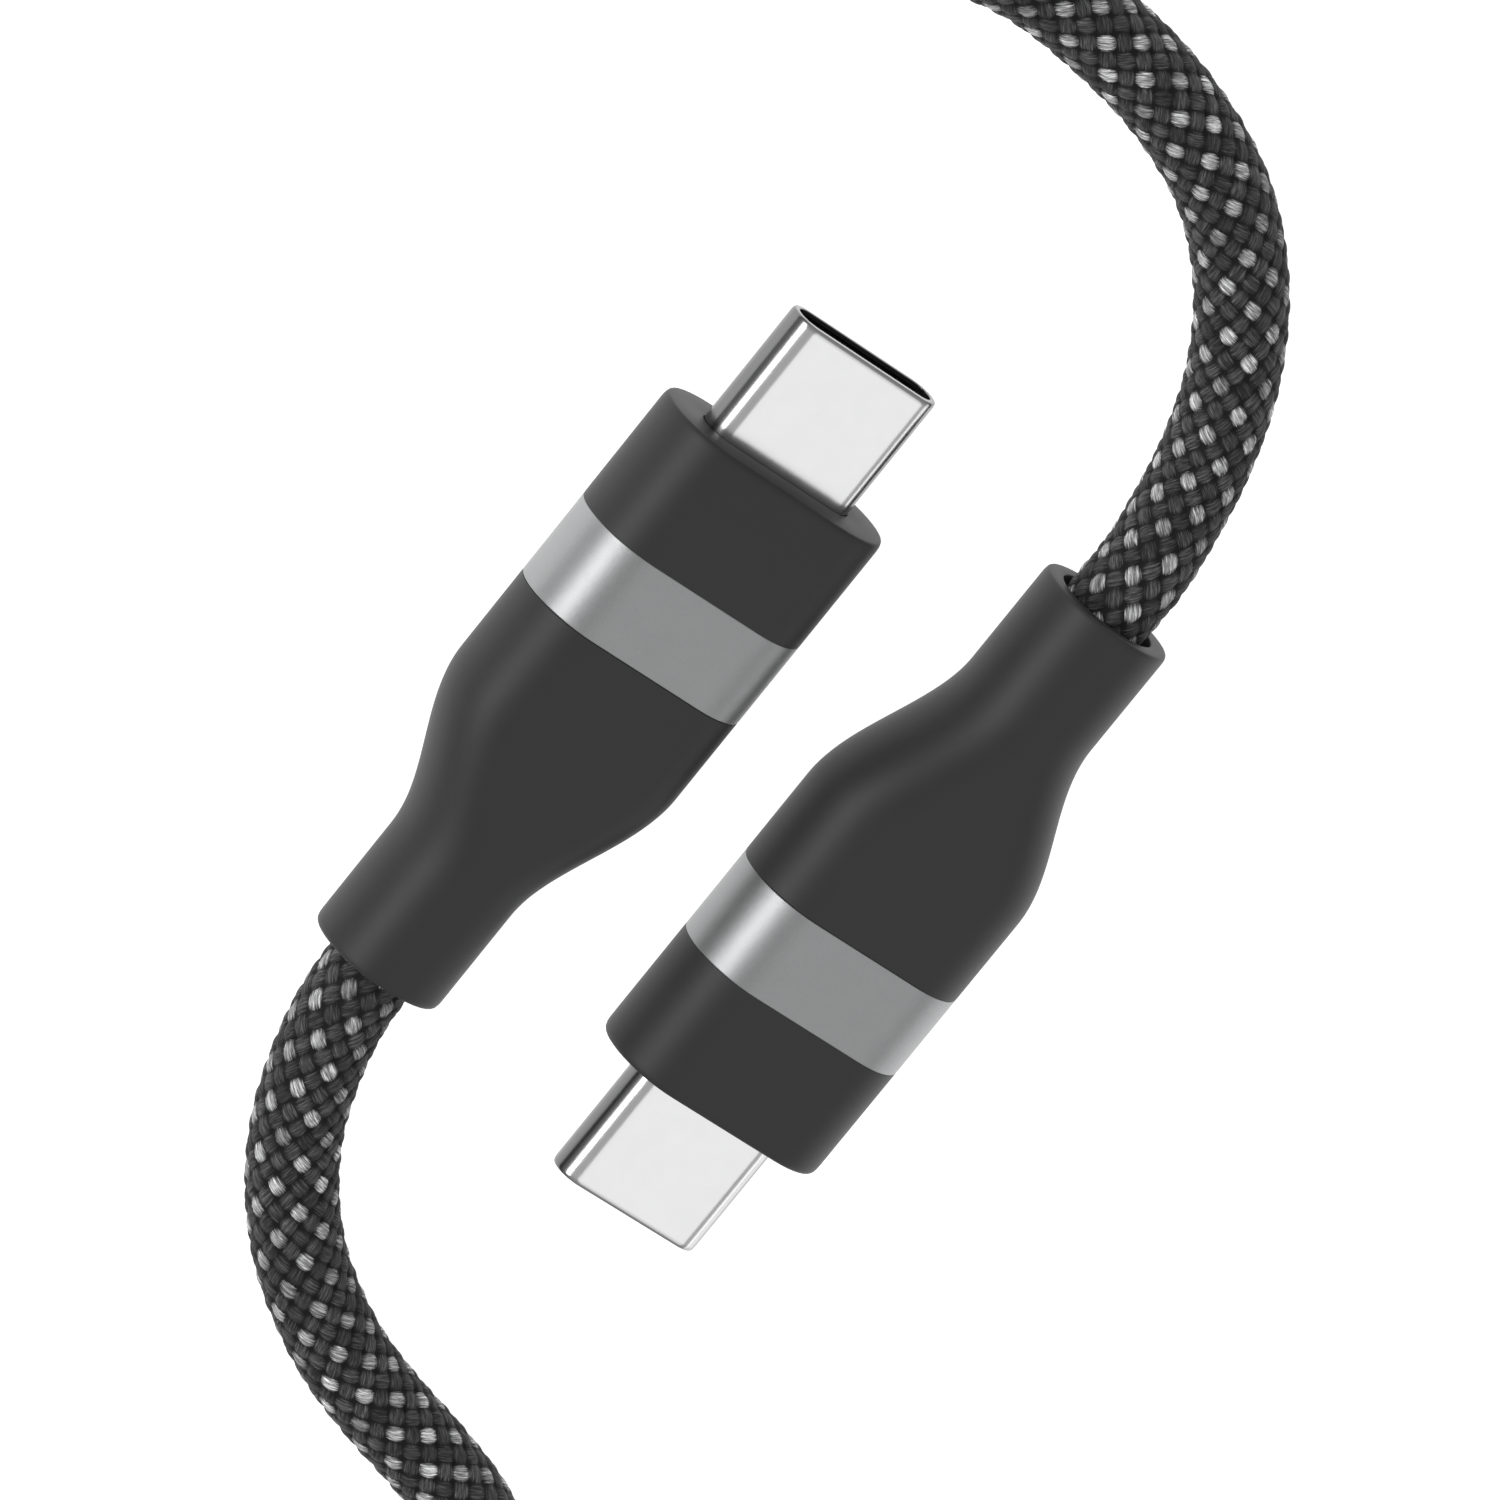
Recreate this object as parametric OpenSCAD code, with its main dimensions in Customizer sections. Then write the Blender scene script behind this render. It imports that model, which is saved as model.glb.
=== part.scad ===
// USB-C to USB-C charging cable: two moulded plugs lying side by side, nose to tail,
// and one braided cord that runs in a single easy loop from the neck of plug A to plug B.
// Each plug is drawn with its nose along +Y and its front face at y = 0, then put in place.

/* [Plug housing] */
// Width of the housing across the flat
housing_w = 12.4; // [12.4:0.1:15]
// Thickness of the housing
housing_t = 6.4; // [6.3:0.1:7.8]
// Length of the front cover, from the front face to the trim band
front_len = 6.1; // [5:0.1:8]
// Length of the trim band along the plug
band_len = 4.5; // [3:0.1:6]
// Straight length of the rear body behind the band
straight_len = 4.6; // [4:0.1:7]
// Length over which the shoulder narrows to the neck
shoulder_len = 8.7; // [7:0.1:12]
// Length of the neck behind the shoulder
neck_len = 5.5; // [4:0.1:10]
// Width of the neck
neck_w = 6.9; // [6.5:0.1:8]
// Thickness of the front wall that the shell passes through
front_wall = 1.2; // [0.8:0.1:1.8]
// Wall of the trim band
band_wall = 0.4; // [0.3:0.05:0.6]
// Wall of the covers outside the inner mould
cover_wall = 0.55; // [0.5:0.05:0.6]

/* [Metal shell] */
// Width of the plug shell
shell_w = 8.25; // [8.2:0.05:8.35]
// Thickness of the plug shell
shell_t = 2.4; // [2.35:0.05:2.9]
// Length of the shell in front of the housing
shell_out = 6.5; // [6.2:0.05:8]
// Length of the shell held inside the housing
shell_in = 5.4; // [4.6:0.1:5.8]
// Sheet thickness of the shell
shell_wall = 0.25; // [0.2:0.01:0.28]

/* [Contacts] */
// Number of contacts in each row
contact_count = 12; // [8:1:12]
// Distance from contact to contact
contact_pitch = 0.5; // [0.45:0.01:0.5]
// Width of one contact
contact_w = 0.25; // [0.2:0.01:0.28]
// Width of the slot that takes the socket's tongue
mouth_w = 6.84; // [6.8:0.01:6.9]
// Height of the slot that takes the socket's tongue
mouth_h = 0.8; // [0.76:0.01:0.84]
// Depth of the slot that takes the socket's tongue
mouth_depth = 5.1; // [4.6:0.1:5.4]

/* [Circuit card and cans] */
// Width of the circuit card
card_w = 6.6; // [5.6:0.1:6.8]
// Length of the circuit card
card_len = 8.2; // [6.8:0.1:9.9]
// Thickness of the circuit card
card_t = 0.7; // [0.5:0.05:0.75]
// Sheet thickness of the shield cans
can_wall = 0.2; // [0.15:0.01:0.25]
// Room between the shell and the side walls of the cans
can_side_gap = 0.05; // [0.04:0.01:0.08]
// Room between the shell and the roof and floor of the cans
can_roof_gap = 0.1; // [0.05:0.01:0.15]

/* [Cord] */
// Diameter of the braided cord
cord_d = 4.4; // [3.6:0.1:4.6]
// Widening of the neck's mouth round the cord
mouth_gap = 0.3; // [0.2:0.05:0.6]
// Depth of that widening
mouth_gap_depth = 1.5; // [1:0.1:3]
// Wall of the crimp ferrule
ferrule_wall = 0.3; // [0.2:0.05:0.35]
// Length of the crimp ferrule
ferrule_len = 3.2; // [2:0.1:3.6]
// Thickness of the braid, which ends where the cord enters the shield cans
braid_t = 0.3; // [0.2:0.05:0.4]

/* [Layout] */
// Distance between the axes of the two plugs
plug_pitch = 17.4; // [15:0.1:24]
// Distance of each plug's front face from the middle of the layout
front_y = 13.3; // [10:0.1:16]

/* [Hidden] */
$fn = 48;

// Clearances between pieces that fit each other
fit_gap = 0.03;
slide_gap = 0.05;
cut = 0.1;

// Stations along a plug, from the front face backwards
band_front_y = -front_len;
band_back_y = band_front_y - band_len;
shoulder_y = band_back_y - straight_len;
neck_y = shoulder_y - shoulder_len;
end_y = neck_y - neck_len;
sleeve_y = band_front_y - band_len / 2;

// Sections of the pieces that fit inside the housing
sleeve_w = housing_w - 2 * (band_wall + fit_gap);
sleeve_t = housing_t - 2 * (band_wall + fit_gap);
mould_w = sleeve_w - 2 * cover_wall;
mould_t = sleeve_t - 2 * cover_wall;

// Rooms inside the shell
shell_in_w = shell_w - 2 * shell_wall;
shell_in_t = shell_t - 2 * shell_wall;
spring_t = 0.1;
insulator_w = shell_in_w - 2 * slide_gap;
insulator_t = shell_in_t - 2 * (spring_t + fit_gap);
insulator_recess = 0.35;
insulator_front_y = shell_out - insulator_recess;
insulator_back_y = -1.9;
mouth_back_y = insulator_front_y - mouth_depth;

// Contacts lie just proud of the roof and floor of the mouth, and their tails on the card
contact_t = 0.15;
touch_gap = 0.01;
contact_z = card_t / 2 + touch_gap;
contact_recess = 0.7;
contact_front_y = insulator_front_y - contact_recess;
contact_tail = 1.7;

// The card starts behind the latch bridge
bridge_back_y = -1.7;
bridge_t = 0.2;
card_front_y = -2.2;
card_back_y = card_front_y - card_len;

// Latch arms stand in windows in the insulator's side walls
arm_t = 0.18;
arm_h = 0.6;
arm_x = mouth_w / 2 + touch_gap;
arm_root_y = 0.4;
arm_tip_y = insulator_front_y - 0.5;
window_h = 0.76;
hook_len = 0.5;
hook_reach = 0.2;

// Shield cans close over the card behind the housing's front wall
can_front_y = -3.2;
wire_room = 1.6;
can_back_y = card_back_y - wire_room;
can_w = shell_w + 2 * can_side_gap;
can_h = shell_t + 2 * can_roof_gap;
can_out_w = can_w + 2 * can_wall;
can_out_t = can_h + 2 * can_wall;
can_split = 0.02;
core_d = cord_d - 2 * braid_t;

// The cord's own end inside the plug, its ferrule and the mould round them
cord_front_y = can_back_y - 0.3;
ferrule_front_y = cord_front_y - 0.2;
ferrule_back_y = ferrule_front_y - ferrule_len;
ferrule_d = cord_d + 2 * (fit_gap + ferrule_wall);
mould_back_y = cord_front_y + 0.1;
mould_tail_wall = 0.25;
mould_tail_y = ferrule_back_y - 0.4;
mould_tail_d = ferrule_d + 2 * mould_tail_wall;

// Wires
power_d = 0.9;
ground_d = 0.9;
data_d = 0.6;
config_d = 0.5;
wire_pad_len = 1.4;
wire_front_y = card_back_y + wire_pad_len;

// The free cord's route over the surface, from the neck of plug A round to the neck of plug B
exit_y = front_y + end_y;
axis_x = plug_pitch / 2;
axis_z = housing_t / 2;
cord_sides = 10;
route = [
    [-axis_x, exit_y, axis_z], [-8.6, -18, 3.1], [-8.2, -20, 2.9], [-7.4, -22.4, 2.6],
    [-6.2, -25, 2.3], [-4.4, -27.7, 2.2], [-2.1, -30.1, 2.2], [0.4, -31.9, 2.2],
    [3.2, -33.4, 2.2], [6.3, -34.5, 2.2], [9.8, -35.5, 2.2], [13.5, -36.9, 2.2],
    [18, -40, 2.2], [21, -44.7, 2.2], [21.8, -50.2, 2.2], [20.2, -55.6, 2.2],
    [16.4, -59.7, 2.2], [11.2, -61.9, 2.2], [5.4, -61.6, 2.2], [-0.4, -59.6, 2.2],
    [-6, -55.9, 2.2], [-11, -50.4, 2.2], [-16.4, -43.4, 2.2], [-22, -36, 2.2],
    [-28, -28, 2.2], [-34, -20, 2.2], [-40, -12, 2.2], [-45.8, -4.4, 2.2],
    [-51.5, 2, 2.2], [-53.8, 7.4, 2.2], [-53.7, 13, 2.2], [-51.2, 17.8, 2.2],
    [-47, 21.2, 2.2], [-41.6, 24.6, 2.2], [-35.4, 28.5, 2.2], [-29.2, 32.2, 2.2],
    [-23.2, 35.3, 2.2], [-18, 37.1, 2.2], [-13.4, 37.9, 2.2], [-8.6, 37.6, 2.2],
    [-4.1, 36.7, 2.2], [0.4, 34.8, 2.2], [4.1, 31.7, 2.2], [6.7, 27.9, 2.2],
    [8.1, 24.2, 2.3], [8.6, 21.4, 2.6], [8.8, 18.8, 3], [axis_x, -exit_y, axis_z]
];

// ---------------------------------------------------------------- shared shapes

// A flat section with full round ends
module stadium(w, t) {
    square([w - t, t], center = true);
    for (side = [-1, 1]) translate([side * (w - t) / 2, 0]) circle(d = t);
}

// Carries a section, drawn with its height along Z, from y = front back to y = back
module along(front, back) {
    translate([0, front, 0]) rotate([90, 0, 0]) linear_extrude(front - back) children();
}

module bar(w, t, front, back, x = 0, z = 0) {
    translate([x - w / 2, back, z - t / 2]) cube([w, front - back, t]);
}

module rod(d, front, back, x = 0, z = 0) {
    translate([x, 0, z]) along(front, back) circle(d = d);
}

// Points of a stadium section at one station, for the lofted rear body
function stadium_ring(w, t, y, steps = 14) = concat(
    [for (k = [0:steps]) let (angle = -90 + 180 * k / steps)
        [(w - t) / 2 + t / 2 * cos(angle), y, t / 2 * sin(angle)]],
    [for (k = [0:steps]) let (angle = 90 + 180 * k / steps)
        [-(w - t) / 2 + t / 2 * cos(angle), y, t / 2 * sin(angle)]]
);

// A closed solid through rings of equal length, from the first ring to the last
module loft(rings) {
    count = len(rings[0]);
    last = len(rings) - 1;
    points = [for (ring = rings) each ring];
    sides = [
        for (i = [0:last - 1], k = [0:count - 1])
            let (a = i * count + k, b = i * count + (k + 1) % count)
            each [[a, b, a + count], [b, b + count, a + count]]
    ];
    caps = [[for (k = [count - 1:-1:0]) k], [for (k = [0:count - 1]) last * count + k]];
    polyhedron(points = points, faces = concat(sides, caps), convexity = 6);
}

// Unit vectors and the rings of a round tube along a route
function unit(v) = v / norm(v);
function heading(path, i) = unit(path[min(i + 1, len(path) - 1)] - path[max(i - 1, 0)]);
function tube_ring(centre, dir, d, sides) =
    let (across = unit(cross(dir, [0, 0, 1])), up = cross(across, dir))
    [for (k = [0:sides - 1]) let (angle = 360 * k / sides)
        centre + d / 2 * (cos(angle) * across + sin(angle) * up)];
module tube(path, d, first, final) {
    last = len(path) - 1;
    loft([for (i = [0:last])
        tube_ring(path[i], i == 0 ? first : (i == last ? final : heading(path, i)), d, cord_sides)]);
}

// ---------------------------------------------------------------- one plug

module front_cover() {
    color([0.2, 0.2, 0.21]) difference() {
        union() {
            along(0, band_front_y) stadium(housing_w, housing_t);
            along(band_front_y + cut, sleeve_y) stadium(sleeve_w, sleeve_t);
        }
        along(cut, -front_wall - cut) stadium(shell_w + 2 * fit_gap, shell_t + 2 * fit_gap);
        along(-front_wall, sleeve_y - cut) stadium(mould_w + 2 * fit_gap, mould_t + 2 * fit_gap);
    }
}

module trim_band() {
    color([0.56, 0.57, 0.58])
    along(band_front_y - fit_gap, band_back_y + fit_gap) difference() {
        stadium(housing_w, housing_t);
        stadium(sleeve_w + 2 * fit_gap, sleeve_t + 2 * fit_gap);
    }
}

// The shoulder follows an even S curve from the full width to the neck
function shoulder_share(t) = t * t * (3 - 2 * t);
shoulder_steps = 12;
module rear_body() {
    rings = concat(
        [stadium_ring(neck_w, housing_t, end_y)],
        [for (k = [0:shoulder_steps])
            let (t = k / shoulder_steps)
            stadium_ring(neck_w + (housing_w - neck_w) * shoulder_share(t), housing_t,
                neck_y + shoulder_len * t)],
        [stadium_ring(housing_w, housing_t, band_back_y)]
    );
    color([0.2, 0.2, 0.21]) difference() {
        union() {
            loft(rings);
            along(sleeve_y - fit_gap, band_back_y - cut) stadium(sleeve_w, sleeve_t);
        }
        along(sleeve_y + cut, mould_back_y - fit_gap)
            stadium(mould_w + 2 * fit_gap, mould_t + 2 * fit_gap);
        rod(mould_tail_d + 2 * fit_gap, mould_back_y + cut, mould_tail_y - fit_gap);
        rod(cord_d + 2 * fit_gap, mould_tail_y + cut, end_y - cut);
        rod(cord_d + 2 * mouth_gap, end_y + mouth_gap_depth, end_y - cut);
    }
}

module plug_shell() {
    color([0.86, 0.86, 0.87]) along(shell_out, -shell_in) difference() {
        stadium(shell_w, shell_t);
        stadium(shell_in_w, shell_in_t);
    }
}

module contact_places() {
    for (k = [0:contact_count - 1])
        translate([(k - (contact_count - 1) / 2) * contact_pitch, 0, 0]) children();
}

module insulator() {
    groove_t = contact_t + 2 * fit_gap;
    color([0.1, 0.1, 0.11]) difference() {
        along(insulator_front_y, insulator_back_y) stadium(insulator_w, insulator_t);
        bar(mouth_w, mouth_h, insulator_front_y + cut, mouth_back_y);
        bar(mouth_w + cut, bridge_t + 2 * fit_gap, arm_root_y + slide_gap, insulator_back_y - cut);
        for (side = [-1, 1]) {
            bar(insulator_w - mouth_w, window_h, arm_tip_y + 0.15, arm_root_y - 0.2,
                x = side * insulator_w / 2);
            contact_places() bar(contact_w + 2 * fit_gap, groove_t, contact_front_y + 0.1,
                insulator_back_y - cut, z = side * (contact_z + contact_t / 2));
        }
    }
}

// One row of spring contacts, each a strip from the mouth to its pad on the card
module contact_row(side) {
    color([0.83, 0.68, 0.3]) contact_places()
        bar(contact_w, contact_t, contact_front_y, card_front_y - contact_tail,
            z = side * (contact_z + contact_t / 2));
}

// A thin plate with spring windows, which grounds the plug against the socket
module ground_spring(side) {
    plate_w = 5;
    window_count = 3;
    window_w = 1;
    color([0.75, 0.74, 0.7]) difference() {
        bar(plate_w, spring_t, insulator_front_y - 0.5, 0.6,
            z = side * (insulator_t / 2 + fit_gap / 2 + spring_t / 2));
        for (k = [0:window_count - 1])
            bar(window_w, 4 * spring_t, insulator_front_y - 1.3, 1.6,
                x = (k - (window_count - 1) / 2) * 1.5 * window_w,
                z = side * insulator_t / 2);
    }
}

module latch_bridge() {
    color([0.72, 0.72, 0.72]) bar(mouth_w - 0.1, bridge_t, arm_root_y - slide_gap, bridge_back_y);
}

// A spring arm with a hook at its tip, which catches the notch in the socket's tongue
module latch_arm(side) {
    color([0.72, 0.72, 0.72]) union() {
        bar(arm_t, arm_h, arm_tip_y, arm_root_y, x = side * (arm_x + arm_t / 2));
        bar(arm_t + hook_reach, arm_h, arm_tip_y - 0.3, arm_tip_y - 0.3 - hook_len,
            x = side * (arm_x + (arm_t - hook_reach) / 2));
    }
}

module circuit_card() {
    color([0.1, 0.35, 0.2]) bar(card_w, card_t, card_front_y, card_back_y);
}

// Small resistors and capacitors on both faces of the card
module card_parts() {
    part_w = 0.5;
    part_len = 1;
    part_t = 0.4;
    color([0.55, 0.45, 0.35]) for (side = [-1, 1], k = [0:1])
        bar(part_w, part_t, card_front_y - 3.1, card_front_y - 3.1 - part_len,
            x = side * (1.9 + 0.8 * k), z = side * (card_t + part_t + 0.02) / 2);
}

module emarker_chip() {
    chip_w = 2;
    chip_t = 0.55;
    color([0.08, 0.08, 0.08]) bar(chip_w, chip_t, card_front_y - 2.8, card_front_y - 2.8 - chip_w,
        z = (card_t + chip_t + 0.02) / 2);
}

// Half of the shield box: side = 1 is the upper can and side = -1 the lower
module shield_can(side) {
    color([0.7, 0.71, 0.73]) difference() {
        bar(can_out_w, can_out_t, can_front_y, can_back_y);
        bar(can_w, can_h, can_front_y - can_wall, can_back_y + can_wall);
        along(can_front_y + cut, can_front_y - can_wall - cut)
            stadium(shell_w + 2 * fit_gap, shell_t + 2 * fit_gap);
        rod(core_d, can_back_y + can_wall + cut, can_back_y - cut);
        bar(can_out_w + cut, can_out_t, can_front_y + cut, can_back_y - cut,
            z = -side * (can_out_t - can_split) / 2);
    }
}

module crimp_ferrule() {
    color([0.72, 0.72, 0.7]) along(ferrule_front_y, ferrule_back_y) difference() {
        circle(d = ferrule_d);
        circle(d = cord_d + 2 * fit_gap);
    }
}

// The first shot of plastic, which grips the shell, the cans and the ferrule
module inner_mould() {
    color([0.88, 0.87, 0.82]) difference() {
        union() {
            along(-front_wall - fit_gap, mould_back_y) stadium(mould_w, mould_t);
            rod(mould_tail_d, mould_back_y + cut, mould_tail_y);
        }
        along(cut, can_front_y - cut) stadium(shell_w + 2 * fit_gap, shell_t + 2 * fit_gap);
        bar(can_out_w + 2 * fit_gap, can_out_t + 2 * fit_gap, can_front_y + fit_gap,
            can_back_y - fit_gap);
        rod(cord_d + 2 * fit_gap, can_back_y + cut, mould_tail_y - cut);
        rod(ferrule_d + 2 * fit_gap, ferrule_front_y + fit_gap, ferrule_back_y - fit_gap);
    }
}

// Wires lie on the card's pads and run straight into the cord
function on_card(d, side) = side * (card_t / 2 + d / 2 + 0.02);
module power_wire() {
    color([0.75, 0.1, 0.1])
        rod(power_d, wire_front_y, cord_front_y + 0.02, x = -0.6, z = on_card(power_d, 1));
}
module ground_wire() {
    color([0.12, 0.12, 0.12])
        rod(ground_d, wire_front_y, cord_front_y + 0.02, x = 0.6, z = on_card(ground_d, 1));
}
module data_wires() {
    for (pair = [[-1, "white"], [1, "green"]]) color(pair[1])
        rod(data_d, wire_front_y, cord_front_y + 0.02, x = pair[0] * 0.7, z = on_card(data_d, -1));
}
module config_wire() {
    color([0.15, 0.3, 0.7])
        rod(config_d, wire_front_y, cord_front_y + 0.02, z = on_card(config_d, -1));
}

module cord_end() {
    color([0.18, 0.18, 0.19]) rod(cord_d, cord_front_y, end_y);
}

// Plug A lies with its nose along +Y, and plug B is the same plug turned half round
module place_a() { translate([-axis_x, front_y, axis_z]) children(); }
module place_b() { rotate([0, 0, 180]) place_a() children(); }

// ---------------------------------------------------------------- cord

module cord() {
    color([0.25, 0.25, 0.26]) tube(route, cord_d, [0, -1, 0], [0, -1, 0]);
}

place_a() front_cover();  // front_cover_a
place_a() trim_band();  // trim_band_a
place_a() rear_body();  // rear_body_a
place_a() plug_shell();  // plug_shell_a
place_a() insulator();  // insulator_a
place_a() contact_row(1);  // contacts_upper_a
place_a() contact_row(-1);  // contacts_lower_a
place_a() ground_spring(1);  // ground_spring_upper_a
place_a() ground_spring(-1);  // ground_spring_lower_a
place_a() latch_bridge();  // latch_bridge_a
place_a() latch_arm(-1);  // latch_arm_left_a
place_a() latch_arm(1);  // latch_arm_right_a
place_a() circuit_card();  // circuit_card_a
place_a() card_parts();  // card_parts_a
place_a() emarker_chip();  // emarker_chip_a
place_a() shield_can(1);  // shield_can_upper_a
place_a() shield_can(-1);  // shield_can_lower_a
place_a() crimp_ferrule();  // crimp_ferrule_a
place_a() inner_mould();  // inner_mould_a
place_a() power_wire();  // power_wire_a
place_a() ground_wire();  // ground_wire_a
place_a() data_wires();  // data_wires_a
place_a() config_wire();  // config_wire_a
place_a() cord_end();  // cord_end_a
place_b() front_cover();  // front_cover_b
place_b() trim_band();  // trim_band_b
place_b() rear_body();  // rear_body_b
place_b() plug_shell();  // plug_shell_b
place_b() insulator();  // insulator_b
place_b() contact_row(1);  // contacts_upper_b
place_b() contact_row(-1);  // contacts_lower_b
place_b() ground_spring(1);  // ground_spring_upper_b
place_b() ground_spring(-1);  // ground_spring_lower_b
place_b() latch_bridge();  // latch_bridge_b
place_b() latch_arm(-1);  // latch_arm_left_b
place_b() latch_arm(1);  // latch_arm_right_b
place_b() circuit_card();  // circuit_card_b
place_b() card_parts();  // card_parts_b
place_b() shield_can(1);  // shield_can_upper_b
place_b() shield_can(-1);  // shield_can_lower_b
place_b() crimp_ferrule();  // crimp_ferrule_b
place_b() inner_mould();  // inner_mould_b
place_b() power_wire();  // power_wire_b
place_b() ground_wire();  // ground_wire_b
place_b() data_wires();  // data_wires_b
place_b() config_wire();  // config_wire_b
place_b() cord_end();  // cord_end_b
cord();
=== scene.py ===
import math

import bpy
import numpy as np
from mathutils import Matrix, Vector


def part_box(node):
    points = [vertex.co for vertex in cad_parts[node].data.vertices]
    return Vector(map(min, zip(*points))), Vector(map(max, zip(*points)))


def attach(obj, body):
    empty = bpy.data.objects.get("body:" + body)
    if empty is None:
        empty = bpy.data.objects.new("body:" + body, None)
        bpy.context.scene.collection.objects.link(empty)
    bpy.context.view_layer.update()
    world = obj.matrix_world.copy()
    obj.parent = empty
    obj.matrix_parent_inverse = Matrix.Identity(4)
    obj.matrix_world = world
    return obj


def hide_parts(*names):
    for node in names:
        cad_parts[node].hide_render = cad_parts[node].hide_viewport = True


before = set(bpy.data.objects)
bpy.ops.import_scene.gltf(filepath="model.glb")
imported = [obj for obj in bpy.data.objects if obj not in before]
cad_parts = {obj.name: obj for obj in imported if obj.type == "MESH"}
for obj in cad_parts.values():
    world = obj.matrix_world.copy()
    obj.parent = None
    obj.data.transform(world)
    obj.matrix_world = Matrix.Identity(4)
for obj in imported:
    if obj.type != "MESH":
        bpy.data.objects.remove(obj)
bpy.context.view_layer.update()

# Charging cable: two plugs side by side and one braided cord, built round the CAD frame.
# Lengths in the dictionaries are millimetres, and meshes are written in metres.

mm = 0.001
ends = ("a", "b")


def boxOf(node):
    low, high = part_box(node)
    return np.array(low) / mm, np.array(high) / mm


# Mesh helpers

def makePiece(name, points, faces, material, uv=None):
    # points in mm, faces as index rows; the object stays at the origin
    mesh = bpy.data.meshes.new(name)
    mesh.from_pydata((points * mm).tolist(), [], [list(face) for face in faces])
    mesh.polygons.foreach_set("use_smooth", np.ones(len(mesh.polygons), bool))
    if uv is not None:
        layer = mesh.uv_layers.new(name="Around")
        layer.data.foreach_set("uv", uv.astype(np.float32).ravel())
    mesh.materials.append(material)
    mesh.validate()
    piece = bpy.data.objects.new(name, mesh)
    bpy.context.scene.collection.objects.link(piece)
    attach(piece, "root")
    return piece


def gridFaces(rows, columns, closeRows=False):
    # quads between neighbours of a rows x columns grid whose columns close into a ring
    i = np.arange(rows if closeRows else rows - 1)[:, None]
    k = np.arange(columns)[None, :]
    below, beside = (i + 1) % rows, (k + 1) % columns
    corners = (i * columns + k, i * columns + beside, below * columns + beside, below * columns + k)
    return np.stack([c + 0 * i + 0 * k for c in corners], axis=-1).reshape(-1, 4)


def endFaces(rows, columns):
    # the two end rings of a tube whose rings turn clockwise along it
    first = np.arange(columns)
    return [first[::-1].tolist(), (first + (rows - 1) * columns).tolist()]


def stadiumRing(width, height, arcSteps=22, flatSteps=8):
    # flat section with full round ends: right arc, top flat, left arc, bottom flat, as x and z
    radius, half = height / 2, (width - height) / 2
    swing = np.linspace(-90, 90, arcSteps, endpoint=False) * math.pi / 180
    flat = np.linspace(1, -1, flatSteps, endpoint=False) * half
    x = np.concatenate([half + radius * np.cos(swing), flat, -half - radius * np.cos(swing), -flat])
    z = np.concatenate([radius * np.sin(swing), 0 * flat + radius,
                        -radius * np.sin(swing), 0 * flat - radius])
    return x, z


def softCorners(stations, steps=6):
    # each corner becomes the curve c + (1-t)^2 (p-c) + t^2 (q-c), with p and q at its own reach
    places = np.array([s[:3] for s in stations], float)
    reach = np.array([s[3] for s in stations], float)
    toLast, toNext = np.roll(places, 1, 0) - places, np.roll(places, -1, 0) - places
    t = np.linspace(0, 1, steps)[None, :, None]
    sides = []
    for side in (toLast, toNext):
        span = np.linalg.norm(side, axis=1, keepdims=True)
        sides.append((side / span * np.minimum(reach[:, None], span * 0.45))[:, None, :])
    rounded = places[:, None, :] + (1 - t) ** 2 * sides[0] + t ** 2 * sides[1]
    return rounded.reshape(-1, 3)


def loftPiece(name, stations, place, material):
    # a closed profile of (width, height, y, corner reach) carried round the stadium outline
    profile = softCorners(stations)
    rings = [np.stack([x, 0 * x + y, z], axis=-1)
             for w, h, y in profile for x, z in [stadiumRing(w, h)]]
    columns = len(rings[0])
    points = place(np.concatenate(rings))
    faces = gridFaces(len(rings), columns, closeRows=True)
    return makePiece(name, points, faces, material)


# Camera

cameraFacts = {
    "target": (-0.83, 1.62, 3.2),  # mm, between the two plugs
    "distance": 529.6,  # mm
    "azimuth": -118.75,  # 0 looks along +Y
    "elevation": 61.18,
    "roll": 154.69,
    "angle": 7.305,  # degrees across the frame
}


def makeCamera(facts):
    azimuth, elevation, roll = (math.radians(facts[k]) for k in ("azimuth", "elevation", "roll"))
    back = Vector((math.sin(azimuth) * math.cos(elevation),
                   -math.cos(azimuth) * math.cos(elevation), math.sin(elevation)))
    level = Vector((math.cos(azimuth), math.sin(azimuth), 0))
    rise = back.cross(level)
    right = level * math.cos(roll) + rise * math.sin(roll)
    up = rise * math.cos(roll) - level * math.sin(roll)
    data = bpy.data.cameras.new("camera")
    data.sensor_width = 36
    data.lens = data.sensor_width / 2 / math.tan(math.radians(facts["angle"]) / 2)
    data.clip_start, data.clip_end = 0.01, 10
    camera = bpy.data.objects.new("camera", data)
    turn = Matrix((right, up, back)).transposed().to_4x4()
    spot = Vector(facts["target"]) * mm + back * facts["distance"] * mm
    camera.matrix_world = Matrix.Translation(spot) @ turn
    bpy.context.scene.collection.objects.link(camera)
    bpy.context.scene.camera = camera
    return camera


makeCamera(cameraFacts)
print("camera placed")


# Materials

class Wire:
    # one shader value; arithmetic on it adds Math nodes to its material

    def __init__(self, shop, socket):
        self.shop, self.socket = shop, socket

    def __add__(self, other):
        return self.shop.math("ADD", self, other)

    def __sub__(self, other):
        return self.shop.math("SUBTRACT", self, other)

    def __rsub__(self, other):
        return self.shop.math("SUBTRACT", other, self)

    def __mul__(self, other):
        return self.shop.math("MULTIPLY", self, other)

    def __gt__(self, other):
        return self.shop.math("GREATER_THAN", self, other)

    __radd__, __rmul__ = __add__, __mul__


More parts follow.
